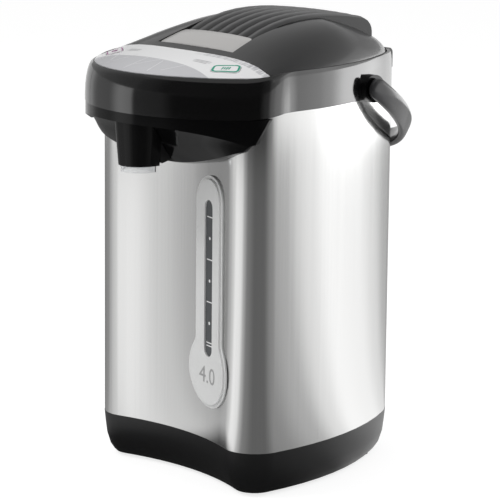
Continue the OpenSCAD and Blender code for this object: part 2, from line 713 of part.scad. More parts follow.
// The inner pot: deep-drawn steel, with a rounded floor and a flange at its mouth
pot_corner = 12;
pot_lip = 0.5;
outlet_y = 54;
outlet_r = 4;
module inner_pot() {
    color("#b9bbbd") centred() translate([0, pot_y, 0]) difference() {
        rotate_extrude($fn = 96) polygon(concat(
            [[0, pot_z]],
            arc([pot_r - pot_corner, pot_z + pot_corner], pot_corner, 270, 360, 6),
            [[pot_r, pot_z + pot_corner], [pot_r, pot_top - 1.2], [pot_r + pot_lip, pot_top - 1.2], [pot_r + pot_lip, pot_top],
                [pot_r - pot_wall, pot_top], [pot_r - pot_wall, pot_z + pot_corner]],
            arc([pot_r - pot_corner, pot_z + pot_corner], pot_corner - pot_wall, 360, 270, 6),
            [[pot_r - pot_corner, pot_z + pot_wall], [0, pot_z + pot_wall]]));
        translate([0, -outlet_y - pot_y, pot_z - 1]) cylinder(r = outlet_r - 0.8, h = pot_wall + 2);
    }
}

// The cast heater clamped under the pot's floor
heater_r = 56;
heater_t = 6;
module heater_plate() {
    color("#8d8f91") centred() translate([0, pot_y + 4, pot_z - heater_t - 0.1]) {
        cylinder(r = heater_r, h = heater_t);
        translate([0, 0, -5]) tube(heater_r - 8, heater_r - 16, 5.2);
        for (x = [-6, 6]) translate([x, 12 - heater_r, -11]) cylinder(r = 1.5, h = 7);
    }
}

module warm_band() {
    color("#9a7a3c") centred() translate([0, pot_y, pot_z + 26]) tube(pot_r + 1.3, pot_r + 0.1, 26);
}

module thermostats() {
    color("#d8d6cc") centred() {
        translate([0, pot_y + 4, pot_z - heater_t - 10]) cylinder(r = 8, h = 9.8);
        translate([0, pot_y + 4, pot_z - heater_t - 14]) cylinder(r = 5, h = 4.1);
        translate([0, pot_y + pot_r + 1.4, pot_z + 39]) rotate([-90, 0, 0]) cylinder(r = 7, h = 6);
    }
}

// Four rods pull the collar down on the base with the jacket between them
rod_r = 2;
rod_places = [[70, -66], [-70, -66], [24, 94], [-24, 94]];
module tie_rods() {
    color("#9fa1a3") centred() for (p = rod_places) translate([p[0], p[1], 0]) {
        translate([0, 0, shell_z - 8]) cylinder(r = rod_r, h = mouth_z + mouth_t + 2 - shell_z + 8);
        translate([0, 0, shell_z - 8]) cylinder(r = 4, h = 3.7, $fn = 6);
        translate([0, 0, mouth_z + mouth_t]) cylinder(r = 4, h = 2, $fn = 6);
    }
}

// The pump hangs under the pot's outlet, its motor in the base
pump_r = 20;
pump_z = shell_z + 4;
motor_r = 16;
motor_h = 24;
shaft_r = 1.5;
pump_floor = 1.4;
pump_h = 10;
module at_pump(z) {
    translate([0, -outlet_y, z]) children();
}

module pump_motor() {
    color("#a9abad") centred() at_pump(0) {
        translate([0, 0, pump_z - 6 - motor_h]) difference() {
            cylinder(r = motor_r, h = motor_h);
            translate([0, 0, motor_h - 5]) cylinder(r = shaft_r + run_gap, h = 6);
        }
        for (a = [45 : 90 : 315]) rotate([0, 0, a]) translate([motor_r - 2.5, 0, pump_z - 6.05])
            cylinder(r = 1.5, h = 6);
    }
}

module motor_rotor() {
    color("#4d5054") centred() at_pump(0) {
        translate([0, 0, pump_z - 4.6]) cylinder(r = 11, h = 4);
        translate([0, 0, pump_z - 10.6]) cylinder(r = shaft_r, h = 6.2);
        for (a = [0, 180]) rotate([0, 0, a]) translate([6, 0, pump_z - 5.2]) cylinder(r = 1.5, h = 1);
    }
}

module pump_housing() {
    color("#d9dadb") centred() at_pump(pump_z) {
        difference() {
            union() {
                cylinder(r = pump_r, h = pump_h);
                translate([0, 0, pump_h / 2]) rotate([90, 0, 0])
                    cylinder(r = pipe_r + 0.4, h = pipe_y - outlet_y - pipe_r - 0.2);
            }
            translate([0, 0, pump_floor]) cylinder(r = pump_r - 2, h = pump_h);
            translate([0, 0, pump_h / 2]) rotate([90, 0, 0]) cylinder(r = pipe_r - 2, h = pump_r + 10);
        }
        translate([0, 0, pump_floor - 0.1]) cylinder(r = shaft_r, h = 5);
    }
}

// The rotor carries six curved vanes on a disc
vane_count = 6;
impeller_r = 15;
module impeller() {
    color("#e8e6df") centred() at_pump(pump_z + pump_floor + 0.6) difference() {
        union() {
            cylinder(r = impeller_r, h = 1.2);
            cylinder(r = 4, h = 4.4);
            for (i = [0 : vane_count - 1]) rotate([0, 0, 360 * i / vane_count]) linear_extrude(4.2)
                polygon(concat(
                    [for (t = [0 : 0.2 : 1]) mix(3, impeller_r - 0.4, t) * [cos(50 * t), sin(50 * t)]],
                    [for (t = [1 : -0.2 : 0]) mix(3, impeller_r - 0.4, t) * [cos(50 * t + 6 + 8 * (1 - t)), sin(50 * t + 6 + 8 * (1 - t))]]));
        }
        translate([0, 0, -1]) cylinder(r = shaft_r + run_gap, h = 7);
    }
}

module pump_lid() {
    color("#cfd0d1") centred() at_pump(pump_z + pump_h) difference() {
        union() {
            translate([0, 0, 0.02]) cylinder(r = pump_r, h = 2);
            cylinder(r = outlet_r, h = 10);
        }
        translate([0, 0, -1]) cylinder(r = outlet_r - 1.4, h = 14);
    }
}

module suction_tube() {
    color("#e9e4d8") centred() at_pump(pump_z + pump_h + 3)
        tube(outlet_r + 2, outlet_r + 0.02, pot_z - pump_z - pump_h - 3.1);
}

// The delivery tube climbs in front of the pot and turns forward over the jacket's edge
pipe_r = 4.6;
pipe_y = 79;
pipe_bend = 9;
module pipe_run(r) {
    low = pump_z + pump_h / 2;
    translate([0, -pipe_y, low]) rotate([-90, 0, 0]) cylinder(r = r, h = pipe_r + 0.15);
    translate([0, -pipe_y, low]) sphere(r = r);
    translate([0, -pipe_y, low]) cylinder(r = r, h = pipe_z - pipe_bend - low);
    translate([0, -pipe_y - pipe_bend, pipe_z - pipe_bend]) rotate([90, 0, 90])
        rotate_extrude(angle = 90) translate([pipe_bend, 0]) circle(r = r);
    translate([0, -pipe_y - pipe_bend, pipe_z]) rotate([90, 0, 0])
        cylinder(r = r, h = spout_y - pipe_y - pipe_bend);
    translate([0, -spout_y, pipe_z]) sphere(r = r);
    translate([0, -spout_y, pipe_z - pipe_r - 0.2]) cylinder(r = r, h = pipe_r + 0.2);
}
module delivery_tube() {
    color([0.93, 0.93, 0.9]) centred() pipe_run(pipe_r);
}

// The power board stands on four posts over the bottom plate
power_z = base_z + plate_t + 6;
module power_board() {
    color("#39603f") centred() {
        translate([-50, 0, power_z]) cube([100, 62, 1.6]);
        for (x = [-44, 44], y = [6, 56]) translate([x, y, base_z + plate_t]) cylinder(r = 2.5, h = 6.05);
        for (x = [-30, -8]) translate([x, 34, power_z + 1.55]) cylinder(r = 7, h = 9);
        translate([14, 14, power_z + 1.55]) cube([24, 20, 8]);
        translate([-40, 8, power_z + 1.55]) cube([28, 12, 7]);
    }
}

// The mains inlet: a recessed socket in the back of the base, with two pins and an earth blade
inlet_deep = 18;
module power_inlet() {
    color("#17181a") centred() translate([0, inlet_face, inlet_z]) difference() {
        translate([fit_gap - inlet_w / 2, -inlet_deep - 2, fit_gap - inlet_h / 2])
            cube([inlet_w - 2 * fit_gap, inlet_deep + 2.5, inlet_h - 2 * fit_gap]);
        translate([2.5 - inlet_w / 2, -inlet_deep, 2.5 - inlet_h / 2])
            cube([inlet_w - 5, inlet_deep + 8, inlet_h - 5]);
        for (x = [-6, 6]) translate([x, -inlet_deep - 3, 0]) rotate([-90, 0, 0]) cylinder(r = 1.52, h = 4);
    }
}

module inlet_pins() {
    color("#c9b26a") centred() for (x = [-6, 6]) translate([x, inlet_face - inlet_deep - 8, inlet_z])
        rotate([-90, 0, 0]) cylinder(r = 1.5, h = 21);
}

// The lid cover: crowned lobes over a skirt, open above for the spine and the release lever
lid_low = mouth_z + mouth_t + 8;
lid_back = hinge_y - 6;
lever_front = -77.2;
lever_rear = spine_front - 1.7;
lever_wide = 90;
lever_gap = 0.5;
function lid_section(y, wall, low, drop) = let (n = 18, w = lid_x(y) - wall) concat(
    [for (i = [0 : n]) let (x = w * sin(90 * (2 * i / n - 1))) [x, y, max(low + 0.5, lobe(x, y) - drop)]],
    [[w, y, low], [-w, y, low]]);
function between(a, b, n) = [for (i = [0 : n]) mix(a, b, i / n)];

module lid_cover() {
    color("#474849") centred() difference() {
        union() {
            difference() {
                skin([for (y = between(-lid_front, lid_back, 20)) lid_section(y, 0, lid_low, 0)]);
                skin([for (y = between(lid_wall - lid_front, lid_back - lid_wall, 14))
                    lid_section(y, lid_wall, lid_low - 1, lid_wall)]);
                translate([0, 0, lid_low + 4.5]) linear_extrude(60) polygon([
                    [-lever_wide / 2 - lever_gap, lever_front - lever_gap],
                    [lever_wide / 2 + lever_gap, lever_front - lever_gap],
                    [spine_half + 0.15, spine_front - 0.15],
                    [spine_half + 0.15, tail_y + 0.15],
                    [-spine_half - 0.15, tail_y + 0.15],
                    [-spine_half - 0.15, spine_front - 0.15]]);
            }
            across(-knuckle_half, hinge_y, hinge_z, knuckle_r, 2 * knuckle_half);
            translate([-knuckle_half, lid_back - 1.5, lid_low]) cube([2 * knuckle_half, 8, 5]);
        }
        across(-knuckle_half - 1, hinge_y, hinge_z, hinge_r + run_gap, 2 * knuckle_half + 2);
        translate([-bolt_half - 0.5, -lid_front - 1, catch_z - bolt_h / 2 - 0.4])
            cube([2 * bolt_half + 1, 6, bolt_h + 0.8]);
    }
}

// The ribbed spine fills the cover's opening; its tail is the steam outlet's hood
module lid_spine() {
    rows = concat(between(spine_front, tail_y - tail_r - 4, 9), [tail_y - tail_r, tail_y - 5, tail_y - 2, tail_y - 0.5, tail_y]);
    color("#515253") centred() difference() {
        skin([for (i = [0 : 4 * rib_count]) let (x = mix(-spine_half, spine_half, i / (4 * rib_count))) concat(
            [for (y = reversed(rows)) [x, y, spine(x, y)]],
            [for (y = rows) [x, y, lobe(x, y) - lid_wall]])]);
        for (i = [-2 : 2]) translate([12 * i - 4, tail_y - 12, spine_edge(tail_y) - 2.6]) cube([8, 20, 2.4]);
        translate([0, tail_y - 12, spine_edge(tail_y) - 14]) cylinder(r = 6, h = 14);
    }
}

// The lid's lower half carries the gasket, the bolt's guides and the lever's posts
liner_t = 2;
liner_r = 77;
gasket_r = 78;
axle_y = lever_rear - 12.3;
axle_z = lobe(0, axle_y) - 6;
axle_r = 1.2;
post_x = 35;
steam_y = 40;
module lid_liner() {
    color("#2b2c2d") centred() difference() {
        union() {
            intersection() {
                plate_of(body_line(lid_inset + 0.3), lid_low - liner_t, liner_t);
                translate([-120, 0.3 - lid_front, lid_low - 5]) cube([240, lid_back + lid_front - 0.6, 20]);
            }
            translate([0, pot_y, lid_low - liner_t - 3]) tube(liner_r, liner_r - 4, 3.1);
            for (x = [-post_x, post_x]) {
                across(x - 2, axle_y, axle_z, 2.2, 4);
                translate([x - 2, axle_y - 2.2, lid_low - 0.1]) cube([4, 4.4, axle_z - lid_low + 0.1]);
            }
            for (x = [-bolt_half - 2.5, bolt_half + 0.5]) translate([x, bolt_front + 8, lid_low - 0.1])
                cube([2, 14, catch_z + bolt_h / 2 - lid_low]);
            translate([-bolt_half - 2, bolt_back + 9, lid_low - 0.1]) cube([2 * bolt_half + 4, 7, 13]);
            translate([-bolt_half, bolt_front + 6, lid_low - 0.1])
                cube([2 * bolt_half, bolt_back - bolt_front - 8, catch_z - bolt_h / 2 - 0.2 - lid_low]);
        }
        across(-post_x - 5, axle_y, axle_z, axle_r + 0.01, 2 * post_x + 10);
        translate([0, steam_y, lid_low - 10]) cylinder(r = 7, h = 20);
        translate([0, bolt_back + 3, catch_z]) rotate([-90, 0, 0]) cylinder(r = spring_r + 1, h = 10);
    }
}

// The pressed steel plate that faces the water
module lid_plate() {
    color("#c4c6c8") centred() translate([0, pot_y, mouth_z - 1]) difference() {
        cylinder(r = mouth_r - 1.6, h = lid_low - liner_t - mouth_z + 0.95);
        translate([0, 0, 0.8]) cylinder(r = mouth_r - 2.4, h = 20);
        translate([0, steam_y - pot_y, -1]) cylinder(r = 10.2, h = 4);
    }
}

module lid_gasket() {
    color("#dcdad2") centred() translate([0, pot_y, mouth_z + mouth_t + 0.1]) rotate_extrude($fn = 96) polygon([
        [mouth_r + 1.5, lid_low - liner_t - mouth_z - mouth_t - 3.2], [mouth_r + 1.5, 1], [mouth_r + 3, 0],
        [gasket_r - 1, 0], [gasket_r, 1], [gasket_r, lid_low - liner_t - mouth_z - mouth_t - 3.2]]);
}

// The tip-over valve: a caged ball that shuts the steam way when the pot lies down
module steam_valve() {
    color("#e6e4dc") centred() translate([0, steam_y, mouth_z - 6]) {
        difference() {
            cylinder(r = 10, h = lid_low - liner_t - mouth_z + 5.95);
            translate([0, 0, 1.4]) cylinder(r = 8.4, h = lid_low);
            translate([0, 0, -1]) cylinder(r = 3, h = 4);
            for (a = [0, 90]) rotate([0, 0, a]) translate([-12, -1.5, 3]) cube([24, 3, 6]);
        }
        translate([0, 0, 5.2]) sphere(r = 4.2);
    }
}

// The release lever: a rocking plate let into the lid; its front is pressed and its tongue draws the bolt back
function lever_top(x, y) = lobe(x, y) + 0.4 - 1.2 * pow(x / 43, 2);
module release_lever() {
    color("#c3c1be") centred() difference() {
        union() {
            skin([for (q = [[lever_front, 0.8], [lever_front + 2, 2.8], [lever_front + 8, 3], [lever_front + 16, 3],
                [lever_rear, 3]]) let (
                y = q[0], w = mix(spine_half, lever_wide / 2, (lever_rear - y) / (lever_rear - lever_front)), n = 12)
                concat(
                    [for (i = [0 : n]) let (x = w * (2 * i / n - 1)) [x, y, lever_top(x, y)]],
                    [for (i = [n : -1 : 0]) let (x = w * (2 * i / n - 1)) [x, y, lever_top(x, y) - q[1]]])]);
            both_sides() {
                across(27, axle_y, axle_z, 2.2, 5.5);
                translate([27, axle_y - 2.2, axle_z]) cube([5.5, 4.4, 5]);
            }
            across(-tongue_half, axle_y, axle_z, 2.2, 2 * tongue_half);
            translate([-tongue_half, axle_y - 1.5, catch_z - 2])
                cube([2 * tongue_half, 3, lever_top(0, axle_y) - catch_z]);
        }
        across(-post_x, axle_y, axle_z, axle_r + run_gap, 2 * post_x);
        both_sides() across(post_x - 2.4, axle_y, axle_z, 2.5, 4.8);
    }
}

module release_pin() {
    color("silver") centred() across(-post_x - 2, axle_y, axle_z, axle_r, 2 * post_x + 4);
}

// The bolt slides between its guides and reaches into the slot in the head's wall
bolt_half = 8;
bolt_h = 4.4;
bolt_front = -lid_front - 2.2;
bolt_back = -50;
spring_r = 3;
tongue_half = 5;
module latch_bolt() {
    color("#d9d4c4") centred() difference() {
        translate([-bolt_half, bolt_front, catch_z - bolt_h / 2]) cube([2 * bolt_half, bolt_back - bolt_front, bolt_h]);
        translate([-bolt_half - 1, bolt_front, catch_z - bolt_h / 2]) rotate([35, 0, 0])
            translate([0, -10, -5]) cube([2 * bolt_half + 2, 10, 5]);
        translate([-tongue_half - 0.4, axle_y - 2.6, catch_z - 5]) cube([2 * tongue_half + 0.8, 4.25, 10]);
    }
}

// The bolt's spring: one open coil
coil_turns = 5;
coil_wire = 0.4;
coil_len = 9.4;
module latch_spring() {
    steps = 12 * coil_turns;
    color("silver") centred() translate([0, bolt_back + coil_wire + 0.05, catch_z]) skin([for (i = [0 : steps]) let (
        a = 360 * i / 12, y = (coil_len - 2 * coil_wire) * i / steps, c = [cos(a), sin(a)])
        [for (b = [300 : -60 : 0]) let (q = spring_r - coil_wire + coil_wire * cos(b))
            [q * c[0], y + coil_wire * sin(b), q * c[1]]]]);
}

module hinge_pin() {
    color("silver") centred() across(-hinge_half, hinge_y, hinge_z, hinge_r - 0.01, 2 * hinge_half);
}

// The handle: a flat band bent to a narrowing U, with an eye on each end
handle_steps = 32;
eye_extra = 0.2;
function reach_at(x) = handle_reach * pow(1 - pow(min(1, abs(x) / handle_half), 1.5), 1 / 2.2);
function band_point(i) = let (x = -handle_half * cos(180 * i / handle_steps)) [x, reach_at(x)];
function band_way(i) = i == 0 ? [0, 1] : i == handle_steps ? [0, -1]
    : let (v = band_point(i + 1) - band_point(i - 1)) v / norm(v);
module handle_place() {
    translate([0, pivot_y, pivot_z]) rotate([-handle_hang, 0, 0]) children();
}
module handle() {
    a = handle_t / 2;
    b = handle_w / 2;
    k = band_chamfer;
    color("#3b3c3d") centred() handle_place() difference() {
        union() {
            skin([for (i = [0 : handle_steps]) let (c = band_point(i), v = band_way(i), n = [-v[1], v[0]])
                [for (q = [[a, b - k], [a - k, b], [k - a, b], [-a, b - k], [-a, k - b], [k - a, -b], [a - k, -b],
                    [a, k - b]]) [c[0] + n[0] * q[0], c[1] + n[1] * q[0], q[1]]]]);
            both_sides() across(handle_half - a - eye_extra, 0, 0, eye_r, handle_t + 2 * eye_extra);
        }
        both_sides() across(handle_half - a - 2, 0, 0, pin_r + run_gap, handle_t);
    }
}

module handle_pivots() {
    color("#0f0f10") centred() both_sides()
        across(boss_end - 5, pivot_y, pivot_z, pin_r - 0.01, handle_half + handle_t / 2 - 2.4 - boss_end + 5);
}

base_cover();
base_plate();
rubber_feet();
base_screws();
outer_shell();
head_cover();
chin_cover();
mouth_ring();
control_panel();
control_board();
spout_cover();
spout_guard();
spout_nozzle();
gauge_frame();
gauge_window();
level_tube();
inner_pot();
heater_plate();
warm_band();
thermostats();
tie_rods();
pump_housing();
pump_lid();
pump_motor();
motor_rotor();
impeller();
suction_tube();
delivery_tube();
power_board();
power_inlet();
inlet_pins();
cup_switch();
cup_lever();
lever_pin();
lid_cover();
lid_spine();
lid_liner();
lid_plate();
lid_gasket();
steam_valve();
release_lever();
release_pin();
latch_bolt();
latch_spring();
hinge_pin();
handle();
handle_pivots();
dispense_button();
unlock_button();
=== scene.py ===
import math
import bmesh
import bpy
from mathutils import Matrix, Vector
from mathutils.bvhtree import BVHTree


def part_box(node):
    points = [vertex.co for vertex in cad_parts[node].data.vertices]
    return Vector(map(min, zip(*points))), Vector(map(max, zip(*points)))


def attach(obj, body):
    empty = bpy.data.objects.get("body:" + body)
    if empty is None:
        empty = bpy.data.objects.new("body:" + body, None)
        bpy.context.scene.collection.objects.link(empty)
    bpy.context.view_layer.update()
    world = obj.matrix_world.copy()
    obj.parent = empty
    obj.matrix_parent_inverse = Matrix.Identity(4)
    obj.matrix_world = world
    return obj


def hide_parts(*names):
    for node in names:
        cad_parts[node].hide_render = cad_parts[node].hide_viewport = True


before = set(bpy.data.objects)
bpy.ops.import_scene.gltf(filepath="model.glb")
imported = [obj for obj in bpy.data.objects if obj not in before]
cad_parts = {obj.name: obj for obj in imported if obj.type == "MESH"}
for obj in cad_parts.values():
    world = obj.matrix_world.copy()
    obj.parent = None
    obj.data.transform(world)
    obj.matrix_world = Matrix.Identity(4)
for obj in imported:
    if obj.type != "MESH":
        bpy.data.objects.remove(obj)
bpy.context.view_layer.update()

# ---- Camera ----
# A long lens stands in front and to the right of the pot, a little above its lid, and looks down
# by eleven degrees at the middle of the jacket. The beak's tip gives the middle of the pot's plan.
nose_reach = 0.1545
plan_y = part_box("head_cover")[0][1] + nose_reach
view_turn = math.radians(49.005)
view_drop = math.radians(11.049)
view_roll = math.radians(0.5585)
eye = Vector((1.63383, plan_y - 1.4387, 0.59584))
back = Vector((math.sin(view_turn) * math.cos(view_drop),
               -math.cos(view_turn) * math.cos(view_drop),
               math.sin(view_drop)))
right = Vector((math.cos(view_turn), math.sin(view_turn), 0))
up = back.cross(right)
cam_right = right * math.cos(view_roll) + up * math.sin(view_roll)
cam_up = up * math.cos(view_roll) - right * math.sin(view_roll)
camera = bpy.data.objects.new("camera", bpy.data.cameras.new("camera"))
camera.data.sensor_width = 36
camera.data.lens = 197.5
camera.data.clip_end = 20
camera_turn = Matrix((cam_right, cam_up, back)).transposed().to_4x4()
camera.matrix_world = Matrix.Translation(eye) @ camera_turn
bpy.context.scene.collection.objects.link(camera)
bpy.context.scene.camera = camera
bpy.context.scene.view_settings.view_transform = "Standard"

# ---- Table and studio ----
# A wide white table top stands under a white surround. What the polished surfaces mirror is a ring
# of soft boxes and dark flags round the pot, each band given as (degrees from the front, brightness).
room_bands = [(-90, 0.27), (-66, 0.33), (-50, 0.56), (-35, 0.78), (-22, 1.12), (-2, 1.02), (9, 0.52),
              (20, 0.25), (45, 0.15), (72, 0.15), (100, 0.32), (122, 0.55), (136, 1.0), (148, 1.3),
              (166, 1.2), (180, 0.92), (190, 0.55), (202, 0.42), (232, 0.26), (269, 0.27)]
# Near the base the table's own bands for mirrors: a painted shade in front of the pot and a painted
# light behind it.
near_shade_and_glow_bands = [(-90, 0.3), (-70, 0.1), (-40, 0.06), (60, 0.05), (100, 0.25), (130, 0.7), (160, 0.9),
              (200, 1.3), (232, 1.4), (255, 0.6), (269, 0.3)]
head_bands = [(-90, 0.7), (-74, 0.35), (-57, 0.4), (-42, 1.1), (-32, 1.0), (-29, 0.15), (-8, 0.12),
              (6, 0.02), (72, 0.02), (92, 0.2), (108, 0.8), (122, 1.2), (136, 1.3), (146, 2.0),
              (156, 3.8), (172, 3.6), (190, 1.9), (215, 1.0), (240, 0.8), (269, 0.7)]
flag_bands = [(-110, 0.35), (-60, 0.25), (-32, 0.2), (-22, 0.12), (0, 0.04), (70, 0.03), (92, 0.1),
              (104, 0.35)]
room_peak, head_peak, flag_peak = 1.4, 5.0, 1.0
table_half, near_reach, far_reach, jacket_middle = 6, 0.14, 0.19, 0.18


def add(tree, kind, values=(), **settings):
    part = tree.nodes.new("ShaderNode" + kind)
    for setting, value in settings.items():
        setattr(part, setting, value)
    for socket, value in dict(values).items():
        part.inputs[socket].default_value = value
    return part


def join(tree, *wires):
    for source, outlet, target, inlet in wires:
        tree.links.new(source.outputs[outlet], target.inputs[inlet])


def ring_glow(tree, bands, peak):
    place = add(tree, "TexCoord")
    compass = add(tree, "TexGradient", gradient_type="RADIAL")
    steps = add(tree, "ValToRGB")
    steps.color_ramp.interpolation = "EASE"
    for n, (turn, level) in enumerate(bands):
        stop = steps.color_ramp.elements[n] if n < 2 else steps.color_ramp.elements.new(1.0)
        stop.position = (turn + 90) / 360
        stop.color = (level / peak, level / peak, level / peak, 1)
    glow = add(tree, "Emission", {"Strength": peak})
    join(tree, (place, "Object", compass, "Vector"), (compass, "Fac", steps, "Fac"),
         (steps, "Color", glow, "Color"))
    return glow


# The camera sees an even white table that still takes a faint shadow. Diffuse rays see white cloth,
# and mirrored rays see the bands; within a hand's width of the base the table has its own bands,
# a painted shade in front of the pot and a painted light behind it, which the jacket's foot mirrors.
table = bpy.data.objects.new("table_top", bpy.data.meshes.new("table_top"))
bm = bmesh.new()
bmesh.ops.create_grid(bm, x_segments=1, y_segments=1, size=table_half)
bm.to_mesh(table.data)
bm.free()
table_white = bpy.data.materials.new("table_white")
table_white.use_nodes = True
top = table_white.node_tree
top.nodes.clear()
rays = add(top, "LightPath")
cloth = add(top, "BsdfDiffuse", {"Color": (0.93, 0.93, 0.93, 1)})
shade = add(top, "BsdfDiffuse", {"Color": (0.4, 0.4, 0.4, 1)})
white = add(top, "Emission", {"Strength": 0.78})
seen = add(top, "AddShader")
from_eye = add(top, "Math", operation="MAXIMUM")
spot = add(top, "TexCoord")
reach_out = add(top, "VectorMath", operation="LENGTH")
beyond = add(top, "MapRange", {"From Min": near_reach, "From Max": far_reach})
near_far = add(top, "MixShader")
mirrored = add(top, "MixShader")
table_mix = add(top, "MixShader")
table_out = add(top, "OutputMaterial")
join(top,
     (shade, 0, seen, 0), (white, 0, seen, 1),
     (spot, "Object", reach_out, 0), (reach_out, "Value", beyond, "Value"),
     (beyond, "Result", near_far, "Fac"),
     (ring_glow(top, near_shade_and_glow_bands, room_peak), 0, near_far, 1),
     (ring_glow(top, room_bands, room_peak), 0, near_far, 2),
     (rays, "Is Glossy Ray", mirrored, "Fac"), (cloth, 0, mirrored, 1), (near_far, 0, mirrored, 2),
     (rays, "Is Camera Ray", from_eye, 0), (rays, "Is Transmission Ray", from_eye, 1),
     (from_eye, 0, table_mix, "Fac"), (mirrored, 0, table_mix, 1), (seen, 0, table_mix, 2),
     (table_mix, 0, table_out, "Surface"))
table.data.materials.append(table_white)
bpy.context.scene.collection.objects.link(table)

# The surround is white to the camera and gives the pot a plain level of light. What a mirror sees of
# it is bright low down and darker overhead.
world = bpy.data.worlds.new("studio_white")
bpy.context.scene.world = world
world.use_nodes = True
sky = world.node_tree
sky.nodes.clear()
sky_rays = add(sky, "LightPath")
looked_at = add(sky, "Math", operation="MAXIMUM")
plain_level = add(sky, "MapRange", {"To Min": 0.62, "To Max": 1.0})
aim = add(sky, "TexCoord")
height = add(sky, "SeparateXYZ")
overhead = add(sky, "MapRange", {"From Min": 0.1, "From Max": 0.8, "To Min": 1.0, "To Max": 0.42})
strength = add(sky, "Mix")
surround = add(sky, "Background")
sky_out = add(sky, "OutputWorld")
join(sky,
     (sky_rays, "Is Camera Ray", looked_at, 0), (sky_rays, "Is Transmission Ray", looked_at, 1),
     (looked_at, 0, plain_level, "Value"),
     (aim, "Generated", height, 0), (height, "Z", overhead, "Value"),
     (sky_rays, "Is Glossy Ray", strength, "Factor"), (plain_level, "Result", strength, "A"),
     (overhead, "Result", strength, "B"),
     (strength, "Result", surround, "Strength"), (surround, 0, sky_out, 0))


def soft_lamp(name, turn, height, reach, size, power):
    lamp = bpy.data.objects.new(name, bpy.data.lights.new(name, "AREA"))
    lamp.data.shape = "RECTANGLE"
    lamp.data.size, lamp.data.size_y = size
    lamp.data.energy = power
    lamp.visible_glossy = False
    place = Vector((reach * math.sin(turn), -reach * math.cos(turn), height))
    toward_pot = Vector((0, 0, jacket_middle)) - place
    lamp_turn = toward_pot.to_track_quat("-Z", "Y").to_matrix().to_4x4()
    lamp.matrix_world = Matrix.Translation(place) @ lamp_turn
    bpy.context.scene.collection.objects.link(lamp)


def mirror_card(name, bands, peak, reach, low, high):
    card = bpy.data.objects.new(name, bpy.data.meshes.new(name))
    start, stop = math.radians(bands[0][0]), math.radians(bands[-1][0])
    bm = bmesh.new()
    foot = bm.verts.new((reach * math.sin(start), -reach * math.cos(start), low))
    bmesh.ops.spin(bm, geom=[foot], cent=(0, 0, 0), axis=(0, 0, 1), angle=stop - start, steps=64)
    raised = bmesh.ops.extrude_edge_only(bm, edges=bm.edges[:])
    bmesh.ops.translate(bm, verts=[v for v in raised["geom"] if isinstance(v, bmesh.types.BMVert)],
                        vec=(0, 0, high - low))
    bm.to_mesh(card.data)
    bm.free()
    paint = bpy.data.materials.new(name)
    paint.use_nodes = True
    paint.node_tree.nodes.clear()
    end = add(paint.node_tree, "OutputMaterial")
    join(paint.node_tree, (ring_glow(paint.node_tree, bands, peak), 0, end, "Surface"))
    card.data.materials.append(paint)
    card.visible_camera = False
    card.visible_shadow = False
    card.visible_diffuse = False
    card.visible_transmission = False
    bpy.context.scene.collection.objects.link(card)


soft_lamp("key_lamp", math.radians(-35), height=1.7, reach=1.3, size=(0.9, 0.9), power=16)
soft_lamp("side_lamp", math.radians(150), height=1.5, reach=1.5, size=(0.8, 1.0), power=12)
mirror_card("ring_of_boxes", room_bands, room_peak, reach=1.5, low=0.001, high=0.85)
mirror_card("head_strip", head_bands, head_peak, reach=1.1, low=0.118, high=0.45)
mirror_card("front_flag", flag_bands, flag_peak, reach=1.1, low=0.451, high=1.6)


# ---- Base cover ----
# The base cover is a tapered moulding in charcoal polypropylene with a fine spark texture. The
# jacket stands on a step inside its upper edge.

# The visible copy of a solid: merged, smooth over its round corners and sharp at its seams.
def fair(node, body, crease, round_by=0.0):
    piece = bpy.data.objects.new(node + "_fair", bpy.data.meshes.new(node + "_fair"))
    bm = bmesh.new()
    bm.from_mesh(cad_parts[node].data)
    bmesh.ops.remove_doubles(bm, verts=bm.verts, dist=2e-6)
    bmesh.ops.dissolve_degenerate(bm, edges=bm.edges, dist=1e-6)
    for face in bm.faces:
        face.smooth = True
    for edge in bm.edges:
        edge.smooth = edge.calc_face_angle(0) < math.radians(crease)
    bm.to_mesh(piece.data)
    bm.free()
    bpy.context.scene.collection.objects.link(piece)
    if round_by:
        soften(piece, round_by, crease + 8)
    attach(piece, body)
    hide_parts(node)
    return piece


def soften(piece, width, least_angle):
    edge_round = piece.modifiers.new("rounded_edges", "BEVEL")
    edge_round.width = width
    edge_round.segments = 3
    edge_round.limit_method = "ANGLE"
    edge_round.angle_limit = math.radians(least_angle)
    edge_round.harden_normals = True


# Moulded plastic: a slight cloudiness in colour and gloss, and a fine grain in the surface.
def moulding(name, colour, rough, grain=900.0, depth=0.02, spread=0.06, coat=0.0, mottle=0.06,
             ior=1.5):
    mat = bpy.data.materials.new(name)
    mat.use_nodes = True
    tree = mat.node_tree
    skin = tree.nodes["Principled BSDF"]
    skin.inputs["Coat Weight"].default_value = coat
    skin.inputs["Coat Roughness"].default_value = 0.04
    skin.inputs["IOR"].default_value = ior
    place = add(tree, "TexCoord")
    cloud = add(tree, "TexNoise", {"Scale": 14, "Detail": 4})
    tint = add(tree, "Mix", data_type="RGBA")
    tint.inputs["A"].default_value = (*[c * (1 - mottle) for c in colour], 1)
    tint.inputs["B"].default_value = (*[min(1, c * (1 + mottle)) for c in colour], 1)
    shine = add(tree, "MapRange", {"To Min": max(0.02, rough - spread), "To Max": rough + spread})
    pits = add(tree, "TexNoise", {"Scale": grain, "Detail": 2})
    relief = add(tree, "Bump", {"Strength": depth * 10, "Distance": 0.0001})
    join(tree,
         (place, "Object", cloud, "Vector"), (place, "Object", pits, "Vector"),
         (cloud, "Fac", tint, "Factor"), (tint, "Result", skin, "Base Color"),
         (cloud, "Fac", shine, "Value"), (shine, "Result", skin, "Roughness"),
         (pits, "Fac", relief, "Height"), (relief, "Normal", skin, "Normal"))
    return mat


def finish_piece(piece, mat):
    piece.data.materials.clear()
    piece.data.materials.append(mat)


def finish_nodes(mat, *nodes):
    for node in nodes:
        finish_piece(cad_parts[node], mat)


